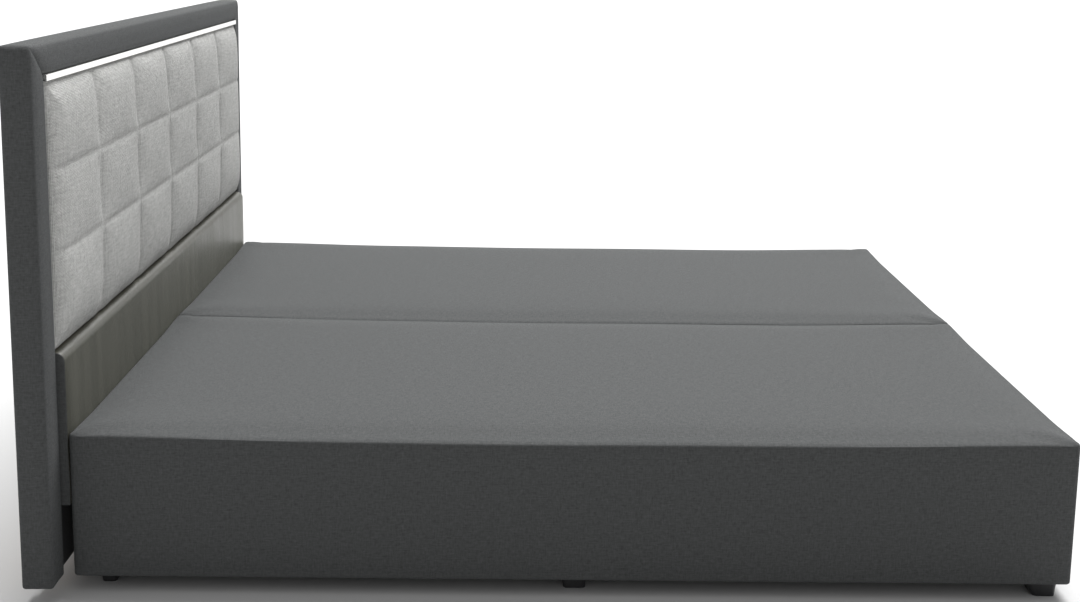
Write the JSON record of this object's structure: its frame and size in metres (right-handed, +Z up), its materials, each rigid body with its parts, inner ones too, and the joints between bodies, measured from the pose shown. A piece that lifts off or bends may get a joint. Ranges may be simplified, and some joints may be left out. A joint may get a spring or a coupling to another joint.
{
  "type": "adjustable bed base",
  "caption": "Upholstered split bed base whose back and leg sections are raised by motors, with a padded headboard across both boxes.",
  "frame": {"origin": "on the floor under the centre of the whole bed's box", "axes": "+X from the headboard to the foot end, +Y to the sleeper's left side, +Z up"},
  "size_m": [2.08, 1.93, 1.095],
  "materials": {
    "cover_dark": "flat woven polyester cover over foam",
    "cover_light": "light woven cover, sewn in panels",
    "cover_satin": "close satin weave with a soft sheen",
    "dust_fabric": "thin non-woven black sheet",
    "frame_wood": "planed spruce",
    "plywood": "birch plywood",
    "frame_steel": "black powder coat",
    "zinc_steel": "zinc plated",
    "rod_steel": "ground and plated",
    "motor_plastic": "fine moulded grain",
    "foot_plastic": "moulded, satin",
    "trim_metal": "bright anodised"
  },
  "bodies": {
    "root": {"right_box_frame": "frame_wood", "right_wall_covers": "cover_dark", "right_dust_cover": "dust_fabric", "right_feet": "foot_plastic", "right_steel_frame": "frame_steel", "right_seat_board": "plywood", "right_seat_pad": "cover_dark", "right_seat_hinges": "zinc_steel", "right_control_box": "motor_plastic", "left_box_frame": "frame_wood", "left_wall_covers": "cover_dark", "left_dust_cover": "dust_fabric", "left_feet": "foot_plastic", "left_steel_frame": "frame_steel", "left_seat_board": "plywood", "left_seat_pad": "cover_dark", "left_seat_hinges": "zinc_steel", "left_control_box": "motor_plastic", "headboard_posts": "cover_dark", "headboard_top_rail": "cover_dark", "headboard_frame": "frame_wood", "headboard_panel_board": "plywood", "headboard_tufted_panel": "cover_light", "headboard_lower_panel": "cover_satin", "headboard_trim_strip": "trim_metal", "headboard_back_sheet": "dust_fabric", "headboard_brackets": "frame_steel", "headboard_bolts": "zinc_steel"},
    "right_back": {"right_back_board": "plywood", "right_back_pad": "cover_dark", "right_back_hinges": "zinc_steel", "right_back_lift_bracket": "frame_steel"},
    "right_thigh": {"right_thigh_board": "plywood", "right_thigh_pad": "cover_dark", "right_thigh_hinges": "zinc_steel", "right_thigh_lift_bracket": "frame_steel"},
    "right_calf": {"right_calf_board": "plywood", "right_calf_pad": "cover_dark", "right_calf_bracket": "frame_steel"},
    "right_calf_links": {"right_calf_links": "frame_steel"},
    "right_head_motor": {"right_head_motor": "motor_plastic"},
    "right_head_rod": {"right_head_rod": "rod_steel"},
    "right_leg_motor": {"right_leg_motor": "motor_plastic"},
    "right_leg_rod": {"right_leg_rod": "rod_steel"},
    "left_back": {"left_back_board": "plywood", "left_back_pad": "cover_dark", "left_back_hinges": "zinc_steel", "left_back_lift_bracket": "frame_steel"},
    "left_thigh": {"left_thigh_board": "plywood", "left_thigh_pad": "cover_dark", "left_thigh_hinges": "zinc_steel", "left_thigh_lift_bracket": "frame_steel"},
    "left_calf": {"left_calf_board": "plywood", "left_calf_pad": "cover_dark", "left_calf_bracket": "frame_steel"},
    "left_calf_links": {"left_calf_links": "frame_steel"},
    "left_head_motor": {"left_head_motor": "motor_plastic"},
    "left_head_rod": {"left_head_rod": "rod_steel"},
    "left_leg_motor": {"left_leg_motor": "motor_plastic"},
    "left_leg_rod": {"left_leg_rod": "rod_steel"}
  },
  "joints": [
    {"name": "right_back_hinge", "type": "hinge", "parent": "root", "child": "right_back", "pos_m": [-0.22, -0.4505, 0.297], "axis": [0, 1, 0], "range_deg": [0, 60]},
    {"name": "right_thigh_hinge", "type": "hinge", "parent": "root", "child": "right_thigh", "pos_m": [0.04, -0.4505, 0.297], "axis": [0, -1, 0], "range_deg": [0, 38]},
    {"name": "right_calf_hinge", "type": "hinge", "parent": "right_thigh", "child": "right_calf", "pos_m": [0.38, -0.4505, 0.297], "axis": [0, -1, 0], "range_deg": [-38, 0]},
    {"name": "right_calf_link_pivot", "type": "hinge", "parent": "root", "child": "right_calf_links", "pos_m": [0.04, -0.4505, 0.207], "axis": [0, -1, 0], "range_deg": [0, 38]},
    {"name": "right_head_motor_pivot", "type": "hinge", "parent": "root", "child": "right_head_motor", "pos_m": [-0.1815, -0.4505, 0.116], "axis": [0, 1, 0], "range_deg": [0, 30]},
    {"name": "right_head_rod_slide", "type": "slide", "parent": "right_head_motor", "child": "right_head_rod", "axis": [-0.8387, 0, 0.5445], "range_m": [0, 0.0958]},
    {"name": "right_leg_motor_pivot", "type": "hinge", "parent": "root", "child": "right_leg_motor", "pos_m": [0.005, -0.4505, 0.1306], "axis": [0, -1, 0], "range_deg": [0, 19]},
    {"name": "right_leg_rod_slide", "type": "slide", "parent": "right_leg_motor", "child": "right_leg_rod", "axis": [0.8375, 0, 0.5464], "range_m": [0, 0.0652]},
    {"name": "left_back_hinge", "type": "hinge", "parent": "root", "child": "left_back", "pos_m": [-0.22, 0.4505, 0.297], "axis": [0, 1, 0], "range_deg": [0, 60]},
    {"name": "left_thigh_hinge", "type": "hinge", "parent": "root", "child": "left_thigh", "pos_m": [0.04, 0.4505, 0.297], "axis": [0, -1, 0], "range_deg": [0, 38]},
    {"name": "left_calf_hinge", "type": "hinge", "parent": "left_thigh", "child": "left_calf", "pos_m": [0.38, 0.4505, 0.297], "axis": [0, -1, 0], "range_deg": [-38, 0]},
    {"name": "left_calf_link_pivot", "type": "hinge", "parent": "root", "child": "left_calf_links", "pos_m": [0.04, 0.4505, 0.207], "axis": [0, -1, 0], "range_deg": [0, 38]},
    {"name": "left_head_motor_pivot", "type": "hinge", "parent": "root", "child": "left_head_motor", "pos_m": [-0.1815, 0.4505, 0.116], "axis": [0, 1, 0], "range_deg": [0, 30]},
    {"name": "left_head_rod_slide", "type": "slide", "parent": "left_head_motor", "child": "left_head_rod", "axis": [-0.8387, 0, 0.5445], "range_m": [0, 0.0958]},
    {"name": "left_leg_motor_pivot", "type": "hinge", "parent": "root", "child": "left_leg_motor", "pos_m": [0.005, 0.4505, 0.1306], "axis": [0, -1, 0], "range_deg": [0, 19]},
    {"name": "left_leg_rod_slide", "type": "slide", "parent": "left_leg_motor", "child": "left_leg_rod", "axis": [0.8375, 0, 0.5464], "range_m": [0, 0.0652]}
  ],
  "couplings": [
    {"joint": "right_calf_hinge", "follows": "right_thigh_hinge", "ratio": -1},
    {"joint": "right_calf_link_pivot", "follows": "right_thigh_hinge", "ratio": 1},
    {"joint": "right_head_motor_pivot", "follows": "right_back_hinge", "ratio": 0.5},
    {"joint": "right_head_rod_slide", "follows": "right_back_hinge", "m_per_rad": 0.091471},
    {"joint": "right_leg_motor_pivot", "follows": "right_thigh_hinge", "ratio": 0.5},
    {"joint": "right_leg_rod_slide", "follows": "right_thigh_hinge", "m_per_rad": 0.098292},
    {"joint": "left_calf_hinge", "follows": "left_thigh_hinge", "ratio": -1},
    {"joint": "left_calf_link_pivot", "follows": "left_thigh_hinge", "ratio": 1},
    {"joint": "left_head_motor_pivot", "follows": "left_back_hinge", "ratio": 0.5},
    {"joint": "left_head_rod_slide", "follows": "left_back_hinge", "m_per_rad": 0.091471},
    {"joint": "left_leg_motor_pivot", "follows": "left_thigh_hinge", "ratio": 0.5},
    {"joint": "left_leg_rod_slide", "follows": "left_thigh_hinge", "m_per_rad": 0.098292}
  ]
}
